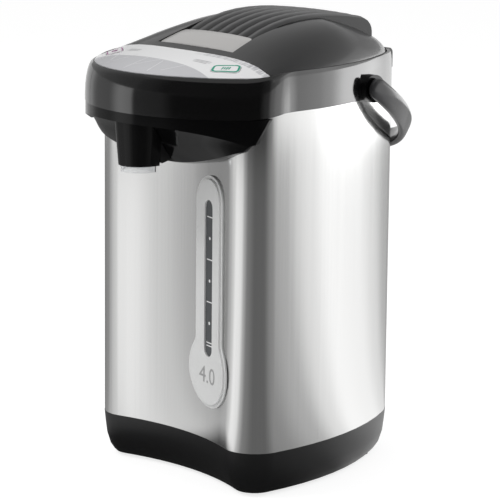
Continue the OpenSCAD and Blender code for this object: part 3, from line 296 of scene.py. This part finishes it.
charcoal = moulding("charcoal_satin", (0.008, 0.008, 0.0085), 0.34, grain=1500)
finish_piece(fair("base_cover", "pot", 34), charcoal)


# ---- Base plate, feet and screws ----
# A flat plate of the same plastic closes the base from below. Four zinc plated screws hold it, and
# four round rubber feet are pressed into it.

# Metal: fine lines in colour, gloss and relief, drawn out along the way that it was worked.
def bright_metal(name, colour, rough, stretch, depth=0.12):
    mat = bpy.data.materials.new(name)
    mat.use_nodes = True
    tree = mat.node_tree
    skin = tree.nodes["Principled BSDF"]
    skin.inputs["Metallic"].default_value = 1
    place = add(tree, "TexCoord")
    lay = add(tree, "Mapping", {"Scale": stretch})
    lines = add(tree, "TexNoise", {"Scale": 1, "Detail": 5})
    tint = add(tree, "Mix", data_type="RGBA")
    tint.inputs["A"].default_value = (*[c * 0.95 for c in colour], 1)
    tint.inputs["B"].default_value = (*[min(1, c * 1.05) for c in colour], 1)
    shine = add(tree, "MapRange", {"To Min": max(0.02, rough - 0.04), "To Max": rough + 0.04})
    relief = add(tree, "Bump", {"Strength": depth, "Distance": 0.0001})
    join(tree,
         (place, "Object", lay, "Vector"), (lay, "Vector", lines, "Vector"),
         (lines, "Fac", tint, "Factor"), (tint, "Result", skin, "Base Color"),
         (lines, "Fac", shine, "Value"), (shine, "Result", skin, "Roughness"),
         (lines, "Fac", relief, "Height"), (relief, "Normal", skin, "Normal"))
    return mat


rubber = moulding("foot_rubber", (0.03, 0.03, 0.03), 0.8, grain=700, depth=0.05)
zinc = bright_metal("zinc_plate", (0.62, 0.63, 0.65), 0.3, stretch=(400, 400, 400))
finish_nodes(charcoal, "base_plate")
finish_nodes(rubber, "rubber_feet")
finish_nodes(zinc, "base_screws")

# ---- Steel jacket ----
# One stainless sheet is bent round the plan's arcs and held between base and head. It is brushed up
# and down, so the room shows in it as soft upright bands.
steel = bright_metal("brushed_steel", (0.72, 0.72, 0.715), 0.15, stretch=(900, 900, 2), depth=0.05)
finish_piece(fair("outer_shell", "pot", 28), steel)

# ---- Head cover ----
# Collar and beak are one moulding in high gloss black. It caps the jacket, carries the deck for the
# panel and the well for the lid, and the handle's bosses stand out of its sides.
jet = (0.003, 0.003, 0.0032)
black = moulding("black_gloss", jet, 0.09, grain=300, depth=0.002, spread=0.02, ior=1.9)
finish_piece(fair("head_cover", "pot", 30), black)

# ---- Chin cover ----
# The chin closes the beak from below and rolls back to the steel face. It is a second black
# moulding and meets the beak at a fine parting line. It takes a copy of the black gloss that
# mirrors less, a painted shade that darkens the underside.
shaded_black_gloss = moulding("black_gloss_shaded_below", jet, 0.12, grain=300, depth=0.002, spread=0.02, ior=1.28)
finish_piece(fair("chin_cover", "pot", 30), shaded_black_gloss)

# ---- Mouth ring ----
# A grey moulded ring closes the head's well round the filling mouth. It clamps the flange of the
# jug, and the closed lid hides it.
grey_moulded = moulding("grey_moulding", (0.06, 0.06, 0.063), 0.45)
finish_nodes(grey_moulded, "mouth_ring")

# ---- Control panel ----
# A printed film lies on a thin plate over the deck: white behind, pale grey in front of an arc, with
# a streaked band along the rear edge on the right.
arc_x, arc_y, arc_r, arc_blur = -0.013, plan_y - 0.445, 0.333, 0.0004
band_y, band_end_y = plan_y - 0.0912, plan_y - 0.0898
band_x, band_full_x = 0.012, 0.032
film = moulding("panel_film", (0.80, 0.80, 0.805), 0.22, grain=500, depth=0.002, mottle=0.02)
ink = film.node_tree
skin = ink.nodes["Principled BSDF"]
place = next(n for n in ink.nodes if n.type == "TEX_COORD")
paper = next(n for n in ink.nodes if n.type == "MIX")
from_arc = add(ink, "VectorMath", {1: (arc_x, arc_y, 0)}, operation="SUBTRACT")
flat = add(ink, "VectorMath", {1: (1, 1, 0)}, operation="MULTIPLY")
far = add(ink, "VectorMath", operation="LENGTH")
in_front = add(ink, "MapRange", {"From Min": arc_r - arc_blur, "From Max": arc_r + arc_blur,
                                 "To Min": 1, "To Max": 0})
grey_ink = add(ink, "Mix", {"B": (0.52, 0.52, 0.54, 1)}, data_type="RGBA")
apart = add(ink, "SeparateXYZ")
rear_band = add(ink, "MapRange", {"From Min": band_y, "From Max": band_end_y})
right_half = add(ink, "MapRange", {"From Min": band_x, "From Max": band_full_x})
streak_lay = add(ink, "Mapping", {"Rotation": (0, 0, 0.5), "Scale": (1800, 120, 1)})
streaks = add(ink, "TexNoise", {"Scale": 1})
streak_level = add(ink, "MapRange", {"From Min": 0.35, "From Max": 0.65})
band_share = add(ink, "Math", operation="MULTIPLY")
streak_share = add(ink, "Math", operation="MULTIPLY")
band_ink = add(ink, "Mix", {"B": (0.40, 0.40, 0.42, 1)}, data_type="RGBA")
join(ink,
     (place, "Object", from_arc, 0), (from_arc, 0, flat, 0), (flat, 0, far, 0),
     (far, "Value", in_front, "Value"), (in_front, "Result", grey_ink, "Factor"),
     (paper, "Result", grey_ink, "A"),
     (place, "Object", apart, 0), (apart, "Y", rear_band, "Value"), (apart, "X", right_half, "Value"),
     (place, "Object", streak_lay, "Vector"), (streak_lay, "Vector", streaks, "Vector"),
     (streaks, "Fac", streak_level, "Value"),
     (rear_band, "Result", band_share, 0), (right_half, "Result", band_share, 1),
     (band_share, 0, streak_share, 0), (streak_level, "Result", streak_share, 1),
     (streak_share, 0, band_ink, "Factor"), (grey_ink, "Result", band_ink, "A"),
     (band_ink, "Result", skin, "Base Color"))
panel = fair("control_panel", "pot", 30)
finish_piece(panel, film)

# ---- Keys ----
# Two white keys with rounded corners look through the panel, the one that dispenses at the right
# and the one that unlocks at the left. Each stands half a millimetre proud.
key_x, key_y, key_turn, key_l, key_w, key_corner = 0.068, -0.1035, 37, 0.0216, 0.0126, 0.0038
key_film = moulding("key_film", (0.82, 0.82, 0.825), 0.22, grain=500, depth=0.002, mottle=0.02)
dispense = fair("dispense_button", "dispense_button", 30)
finish_piece(dispense, key_film)
unlock = fair("unlock_button", "unlock_button", 30)
finish_piece(unlock, key_film)


# Each key carries a printed ring, green at the right and magenta at the left, round four short bars.
# A print is a flat outline dropped on the piece below it and left a twentieth of a millimetre proud.
def lay_print(name, bm, carrier, ink, body, lift=0.00006):
    longest, above, no_ground = 0.004, 0.5, 0.33
    ground = BVHTree.FromPolygons([v.co for v in carrier.data.vertices],
                                  [tuple(f.vertices) for f in carrier.data.polygons])
    bmesh.ops.subdivide_edges(bm, edges=[e for e in bm.edges if e.calc_length() > longest], cuts=3,
                              use_grid_fill=True)
    bmesh.ops.triangulate(bm, faces=bm.faces)
    for vert in bm.verts:
        hit = ground.ray_cast(Vector((vert.co.x, vert.co.y, above)), Vector((0, 0, -1)))[0]
        vert.co.z = (hit.z if hit else no_ground) + lift
    bmesh.ops.recalc_face_normals(bm, faces=bm.faces)
    print_mark = bpy.data.objects.new(name, bpy.data.meshes.new(name))
    bm.to_mesh(print_mark.data)
    bm.free()
    print_mark.data.materials.append(ink)
    bpy.context.scene.collection.objects.link(print_mark)
    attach(print_mark, body)


def oblong_face(bm, l, w, r, x, y, turn):
    above_deck = 0.34
    corners = [(l / 2 - r, w / 2 - r, 0), (r - l / 2, w / 2 - r, 90),
               (r - l / 2, r - w / 2, 180), (l / 2 - r, r - w / 2, 270)]
    spin = Matrix.Rotation(math.radians(turn), 2)
    spots = [spin @ Vector((cx + r * math.cos(math.radians(a)), cy + r * math.sin(math.radians(a))))
             for cx, cy, first in corners for a in range(first, first + 91, 15)]
    return bm.faces.new([bm.verts.new((x + p.x, plan_y + y + p.y, above_deck)) for p in spots])


green = moulding("green_print", (0.0, 0.30, 0.19), 0.3)
magenta = moulding("magenta_print", (0.30, 0.03, 0.22), 0.3)
bar_count, bar_w, bar_l, bar_step = 4, 0.0011, 0.0052, 0.0009
bar_corner, bar_pitch, bar_lean = 0.0003, 0.0018, 12
for side, key, body, ink, ring_w in ((1, dispense, "dispense_button", green, 0.0017),
                                     (-1, unlock, "unlock_button", magenta, 0.0009)):
    bm = bmesh.new()
    rim = oblong_face(bm, key_l, key_w, key_corner, side * key_x, key_y, side * key_turn)
    rim.normal_update()
    bmesh.ops.inset_region(bm, faces=[rim], use_boundary=True, use_even_offset=True, thickness=ring_w)
    bmesh.ops.delete(bm, geom=[rim], context="FACES_ONLY")
    lay_print(body + "_ring", bm, key, ink, body)
    bm = bmesh.new()
    for n in range(bar_count):
        from_middle = bar_pitch * (n - (bar_count - 1) / 2)
        slide = Matrix.Rotation(math.radians(side * key_turn), 2) @ Vector((from_middle, 0))
        oblong_face(bm, bar_w, bar_l - bar_step * (n % 2), bar_corner,
                    side * key_x + slide.x, key_y + slide.y, side * key_turn - bar_lean)
    lay_print(body + "_bars", bm, key, ink, body)

# ---- Prints on the panel ----
# The film is printed with three fine grey lines beside each key and with a few pale rays across the
# grey field.
fine_corner, ray_w = 0.0002, 0.0006
right_l, right_short, right_w = 0.019, 0.003, 0.0007
right_x, right_y, right_pitch = 0.0385, -0.1008, 0.0021
left_l, left_w, left_x, left_y, left_pitch = 0.013, 0.0006, -0.048, -0.0975, 0.0019
grey_print = moulding("grey_print", (0.30, 0.30, 0.31), 0.4)
ray_print = moulding("pale_rays", (0.78, 0.78, 0.8), 0.25)
rays_at = [(-0.058, -0.116, 0.024, 62), (-0.049, -0.117, 0.022, 118), (-0.036, -0.121, 0.026, 70),
           (-0.012, -0.126, 0.030, 100), (-0.004, -0.122, 0.022, 58), (0.012, -0.127, 0.026, 112),
           (0.030, -0.124, 0.020, 66)]
bm = bmesh.new()
for n in range(3):
    oblong_face(bm, right_l - right_short * (n == 2), right_w, fine_corner,
                right_x, right_y - right_pitch * n, 0)
    oblong_face(bm, left_l, left_w, fine_corner, left_x, left_y - left_pitch * n, 0)
lay_print("fine_lines", bm, panel, grey_print, "pot")
bm = bmesh.new()
for x, y, length, turn in rays_at:
    oblong_face(bm, length, ray_w, fine_corner, x, y, turn)
lay_print("pale_rays", bm, panel, ray_print, "pot", lift=0.00004)

# ---- Circuit boards ----
# The control board hangs from four posts under the deck, and the power board stands on four posts
# over the base plate. Both are green lacquered laminate.
board_green = moulding("board_green", (0.03, 0.14, 0.05), 0.4)
finish_nodes(board_green, "control_board", "power_board")

# ---- Spout cover ----
# A half round black shell hangs below the beak round the outlet. It is a moulding of its own, held
# by a flange inside the chin.
# The spout cover takes the chin's copy of the black gloss that mirrors less, a painted shade on the
# underside.
finish_piece(fair("spout_cover", "pot", 30), shaded_black_gloss)

# ---- Splash guard and nozzle ----
# A clear guard inside the spout's lower rim keeps splashes off the cup's edge. The nozzle within it
# is white nylon.
clear = bpy.data.materials.new("clear_plastic")
clear.use_nodes = True
glassy = clear.node_tree.nodes["Principled BSDF"]
glassy.inputs["Base Color"].default_value = (0.93, 0.94, 0.95, 1)
glassy.inputs["Transmission Weight"].default_value = 0.9
glassy.inputs["IOR"].default_value = 1.45
haze_place = add(clear.node_tree, "TexCoord")
haze = add(clear.node_tree, "TexNoise", {"Scale": 120})
haze_level = add(clear.node_tree, "MapRange", {"To Min": 0.04, "To Max": 0.2})
join(clear.node_tree, (haze_place, "Object", haze, "Vector"), (haze, "Fac", haze_level, "Value"),
     (haze_level, "Result", glassy, "Roughness"))
finish_piece(fair("spout_guard", "pot", 30), clear)
nylon = moulding("white_nylon", (0.72, 0.72, 0.70), 0.4)
finish_nodes(nylon, "spout_nozzle")

# ---- Cup lever and its switch ----
# A cup's rim pushes the charcoal lever behind the spout. It swings on a zinc plated pin, and its
# rear arm lifts the plunger of a small switch under the spout's flange.
finish_nodes(charcoal, "cup_lever", "cup_switch")
finish_nodes(zinc, "lever_pin")

# ---- Gauge frame ----
# A pearl white moulding follows the hollow face of the jacket round the window and widens to a
# round foot. Its edges are softly rounded.
pearl = moulding("pearl_white", (0.76, 0.765, 0.76), 0.2, grain=700, depth=0.003, mottle=0.02)
finish_piece(fair("gauge_frame", "pot", 30, round_by=0.0007), pearl)

# ---- Gauge window ----
# The window is a smoked strip set into the frame. White print marks the level in equal steps, by
# turns a line and a dot, with a double line as the lowest mark.
hollow_r, hollow_c, gauge_x = 0.208, 0.29770, 0.0415
gauge_turn = math.asin(gauge_x / hollow_r)
top_mark, mark_pitch, mark_count, marks_out = 0.2146, 0.0168, 7, 0.00187
line_l, line_w, dot_r, twin_gap = 0.0086, 0.0009, 0.0013, 0.0012
smoke = moulding("smoked_window", (0.075, 0.08, 0.085), 0.12, depth=0.002)
finish_piece(fair("gauge_window", "pot", 30), smoke)


def on_face(u, z, out):
    turn = gauge_turn + u / hollow_r
    r = hollow_r - out
    return Vector((r * math.sin(turn), plan_y - hollow_c + r * math.cos(turn), z))


def wrap_on_face(name, bm, out, ink):
    bmesh.ops.triangulate(bm, faces=bm.faces)
    for vert in bm.verts:
        vert.co = on_face(vert.co.x, vert.co.y, out + vert.co.z)
    mark = bpy.data.objects.new(name, bpy.data.meshes.new(name))
    bm.to_mesh(mark.data)
    bm.free()
    mark.data.materials.append(ink)
    bpy.context.scene.collection.objects.link(mark)
    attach(mark, "pot")


white_print = moulding("white_print", (0.82, 0.82, 0.82), 0.3)
bm = bmesh.new()
for n in range(mark_count):
    z = top_mark - n * mark_pitch
    if n % 2:
        bmesh.ops.create_circle(bm, cap_ends=True, segments=20, radius=dot_r,
                                matrix=Matrix.Translation((0, z, 0)))
    else:
        for line_z in [z + twin_gap, z - twin_gap] if n == mark_count - 1 else [z]:
            line_place = Matrix.Translation((0, line_z, 0)) @ Matrix.Diagonal((line_l, line_w, 1, 1))
            bmesh.ops.create_grid(bm, x_segments=6, y_segments=1, size=0.5, matrix=line_place)
wrap_on_face("window_marks", bm, marks_out, white_print)

# ---- Figure on the gauge's foot ----
# A grey 4.0 on the round foot gives the litres. It stands a few hundredths of a millimetre out of
# the foot's face.
digit_size, digit_widen, digit_depth, digit_edge = 0.0185, 1.15, 0.00004, 0.003
digit_u, digit_z, digits_out = -0.0004, 0.0885, 0.00306
engraved = moulding("engraved_grey", (0.36, 0.36, 0.36), 0.4)
digits = bpy.data.objects.new("digits", bpy.data.curves.new("digits", "FONT"))
digits.data.body = "4.0"
digits.data.align_x, digits.data.align_y = "CENTER", "CENTER"
digits.data.size = digit_size
digits.data.extrude = digit_depth
bpy.context.scene.collection.objects.link(digits)
bpy.context.view_layer.update()
bm = bmesh.new()
bm.from_mesh(digits.evaluated_get(bpy.context.evaluated_depsgraph_get()).to_mesh())
bpy.data.objects.remove(digits)
bmesh.ops.scale(bm, verts=bm.verts, vec=(digit_widen, 1, 1))
bmesh.ops.subdivide_edges(bm, edges=[e for e in bm.edges if e.calc_length() > digit_edge],
                          cuts=2)
bmesh.ops.translate(bm, verts=bm.verts, vec=(digit_u, digit_z, 0))
wrap_on_face("litre_digits", bm, digits_out, engraved)

# ---- Level tube ----
# A clear tube stands behind the window, joined to the jug above and below, so that its water stands
# as high as the jug's.
finish_nodes(clear, "level_tube")

# ---- Jug ----
# The jug is deep drawn in stainless steel, with a rounded floor and a flange at its mouth. It holds
# the four litres.
drawn = bright_metal("drawn_steel", (0.68, 0.69, 0.70), 0.2, stretch=(300, 300, 20))
finish_nodes(drawn, "inner_pot")

# ---- Heater, warming band, thermostats and tie rods ----
# A cast aluminium plate is clamped under the jug's floor, and a mica band keeps the jug warm. One
# thermostat sits below the plate and one on the band. Four zinc plated rods pull the head down on
# the base with the jacket between them.
cast = bright_metal("cast_aluminium", (0.5, 0.51, 0.52), 0.5, stretch=(500, 500, 500))
mica = moulding("mica_band", (0.32, 0.21, 0.06), 0.5)
finish_nodes(cast, "heater_plate")
finish_nodes(mica, "warm_band")
finish_nodes(nylon, "thermostats")
finish_nodes(zinc, "tie_rods")

# ---- Pump and tubes ----
# The pump's housing, lid and impeller are white nylon. A motor in a zinc plated can turns the
# impeller by magnets, and silicone tubes lead from the jug to the pump and up to the nozzle.
silicone = moulding("silicone", (0.7, 0.68, 0.62), 0.45)
finish_nodes(nylon, "pump_housing", "pump_lid", "impeller")
finish_nodes(zinc, "pump_motor")
finish_nodes(grey_moulded, "motor_rotor")
finish_nodes(silicone, "suction_tube", "delivery_tube")

# ---- Inlet ----
# The mains inlet is a charcoal socket low in the back of the base. Two plated brass pins stand in
# it.
brass = bright_metal("plated_pin", (0.75, 0.6, 0.3), 0.25, stretch=(400, 400, 400))
finish_nodes(charcoal, "power_inlet")
finish_nodes(brass, "inlet_pins")

# ---- Lid cover and spine ----
# The lid's upper side is two mouldings painted in satin charcoal: a cover with two crowned lobes
# and the ribbed spine between them. The spine's tail is the steam outlet's hood.
lid_paint = moulding("lid_charcoal", (0.018, 0.018, 0.0185), 0.3, grain=1200, depth=0.006, coat=0.35)
finish_piece(fair("lid_cover", "lid", 34), lid_paint)
finish_piece(fair("lid_spine", "lid", 34), lid_paint)

# ---- Lid liner, plate, gasket and steam valve ----
# The lid's charcoal lower half holds the plate of drawn steel that faces the water and the silicone
# gasket. A white valve shuts the steam's way when the pot lies down.
finish_nodes(charcoal, "lid_liner")
finish_nodes(drawn, "lid_plate")
finish_nodes(silicone, "lid_gasket")
finish_nodes(nylon, "steam_valve")

# ---- Release lever ----
# The plate that releases the lid is a moulding painted warm silver, with rounded corners and a soft
# edge. It rocks on a zinc plated pin between the liner's posts.
plate_front, plate_rear, front_half, rear_half, corner_r = -0.07712, -0.05378, 0.0449, 0.04192, 0.0036
arm_in, arm_out, arm_front, arm_back, arm_top = 0.0269, 0.0326, -0.0683, -0.0636, 0.3446
silver = moulding("warm_silver", (0.56, 0.55, 0.54), 0.3, grain=1500, depth=0.006)
silver.node_tree.nodes["Principled BSDF"].inputs["Metallic"].default_value = 0.35
lever = fair("release_lever", "release_lever", 30)
# The tops of the lever's arms are taken out of the plate's upper face.
bm = bmesh.new()
bm.from_mesh(lever.data)
bmesh.ops.dissolve_verts(bm, verts=[v for v in bm.verts if arm_in < abs(v.co.x) < arm_out
                                    and arm_front < v.co.y - plan_y < arm_back and v.co.z > arm_top])
bmesh.ops.triangulate(bm, faces=[f for f in bm.faces if len(f.verts) > 4])
bm.to_mesh(lever.data)
bm.free()
# A prism with the plate's outline and rounded corners trims the plate.
prism_low, prism_high = 0.3, 0.4
corner_tool = bpy.data.objects.new("corner_tool", bpy.data.meshes.new("corner_tool"))
bm = bmesh.new()
sheet = bm.faces.new([bm.verts.new((x, plan_y + y, prism_low)) for x, y in
                      ((-front_half, plate_front), (front_half, plate_front),
                       (rear_half, plate_rear), (-rear_half, plate_rear))])
prism = bmesh.ops.extrude_face_region(bm, geom=[sheet])
bmesh.ops.translate(bm, verts=[v for v in prism["geom"] if isinstance(v, bmesh.types.BMVert)],
                    vec=(0, 0, prism_high - prism_low))
upright = [e for e in bm.edges if abs(e.verts[0].co.z - e.verts[1].co.z) > (prism_high - prism_low) / 2]
bmesh.ops.bevel(bm, geom=upright, offset=corner_r, offset_type="OFFSET", affect="EDGES", segments=6,
                profile=0.5, material=-1)
bmesh.ops.recalc_face_normals(bm, faces=bm.faces)
bm.to_mesh(corner_tool.data)
bm.free()
bpy.context.scene.collection.objects.link(corner_tool)
trim = lever.modifiers.new("rounded_corners", "BOOLEAN")
trim.operation = "INTERSECT"
trim.solver = "EXACT"
trim.object = corner_tool
bpy.context.view_layer.update()
trimmed = bpy.data.meshes.new_from_object(lever.evaluated_get(bpy.context.evaluated_depsgraph_get()))
lever.modifiers.clear()
lever.data = trimmed
bpy.data.objects.remove(corner_tool)
soften(lever, width=0.0005, least_angle=50)
finish_piece(lever, silver)
finish_nodes(zinc, "release_pin")

# ---- Latch ----
# A white nylon bolt slides in the liner's guides and reaches into a slot in the head's wall. One
# open coil of spring wire pushes it.
finish_nodes(nylon, "latch_bolt")
finish_nodes(zinc, "latch_spring")

# ---- Lid's hinge pin ----
# A zinc plated pin runs through the head's two ears and the lid's knuckle, and the lid swings up
# and back on it.
finish_nodes(zinc, "hinge_pin")

# ---- Handle ----
# A glossy grey strap with soft edges is bent to a narrowing U and hangs behind the pot. Its ends
# are rounded over the pivots in the head's two bosses.
strap_half, strap_reach, strap_w, strap_t, strap_hang = 0.0915, 0.1015, 0.017, 0.007, math.radians(34)
bend, taper, edge_softness = 1.5, 1 / 2.2, 0.62
pivot_y, pivot_z = 0.033, 0.309
end_steps, strap_steps, round_steps = 12, 160, 32
pivot = Vector((0, plan_y + pivot_y, pivot_z))
handle_paint = moulding("handle_grey", (0.035, 0.035, 0.037), 0.16, grain=900, depth=0.003, coat=0.3)
line = [Vector((-strap_half, -strap_w / 2 * math.cos(math.pi / 2 * n / end_steps), 0))
        for n in range(end_steps)]
for n in range(strap_steps + 1):
    x = -strap_half * math.cos(math.pi * n / strap_steps)
    line.append(Vector((x, strap_reach * (1 - min(1, abs(x) / strap_half) ** bend) ** taper, 0)))
line += [Vector((-p.x, p.y, 0)) for p in line[end_steps - 1::-1]]
last = len(line) - 1
strap = bpy.data.objects.new("handle_strap", bpy.data.meshes.new("handle_strap"))
bm = bmesh.new()
bmesh.ops.create_grid(bm, x_segments=last, y_segments=round_steps, size=1)
for vert in bm.verts:
    step = round((vert.co.x + 1) / 2 * last)
    turn = math.pi * vert.co.y
    along = (line[min(step + 1, last)] - line[max(step - 1, 0)]).normalized()
    out = Vector((-along.y, along.x, 0))
    past = min(1, max(0, -line[step].y / (strap_w / 2)))
    wide = strap_w / 2 * math.sqrt(1 - past ** 2)
    thick = strap_t / 2 * (1 - past ** 4) ** 0.5
    cos, sin = math.cos(turn), math.sin(turn)
    off_line = out * (math.copysign(abs(cos) ** edge_softness, cos) * thick)
    off_plane = Vector((0, 0, math.copysign(abs(sin) ** edge_softness, sin) * wide))
    vert.co = pivot + Matrix.Rotation(-strap_hang, 3, "X") @ (line[step] + off_line + off_plane)
bmesh.ops.remove_doubles(bm, verts=bm.verts, dist=1e-6)
bmesh.ops.dissolve_degenerate(bm, edges=bm.edges, dist=1e-6)
bmesh.ops.recalc_face_normals(bm, faces=bm.faces)
for face in bm.faces:
    face.smooth = True
bm.to_mesh(strap.data)
bm.free()
bpy.context.scene.collection.objects.link(strap)
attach(strap, "handle")
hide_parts("handle")
finish_piece(strap, handle_paint)

# ---- Handle pivots ----
# A black pin in each of the head's bosses carries an end of the strap. The handle swings on them
# from behind the pot up over the lid.
finish_nodes(black, "handle_pivots")
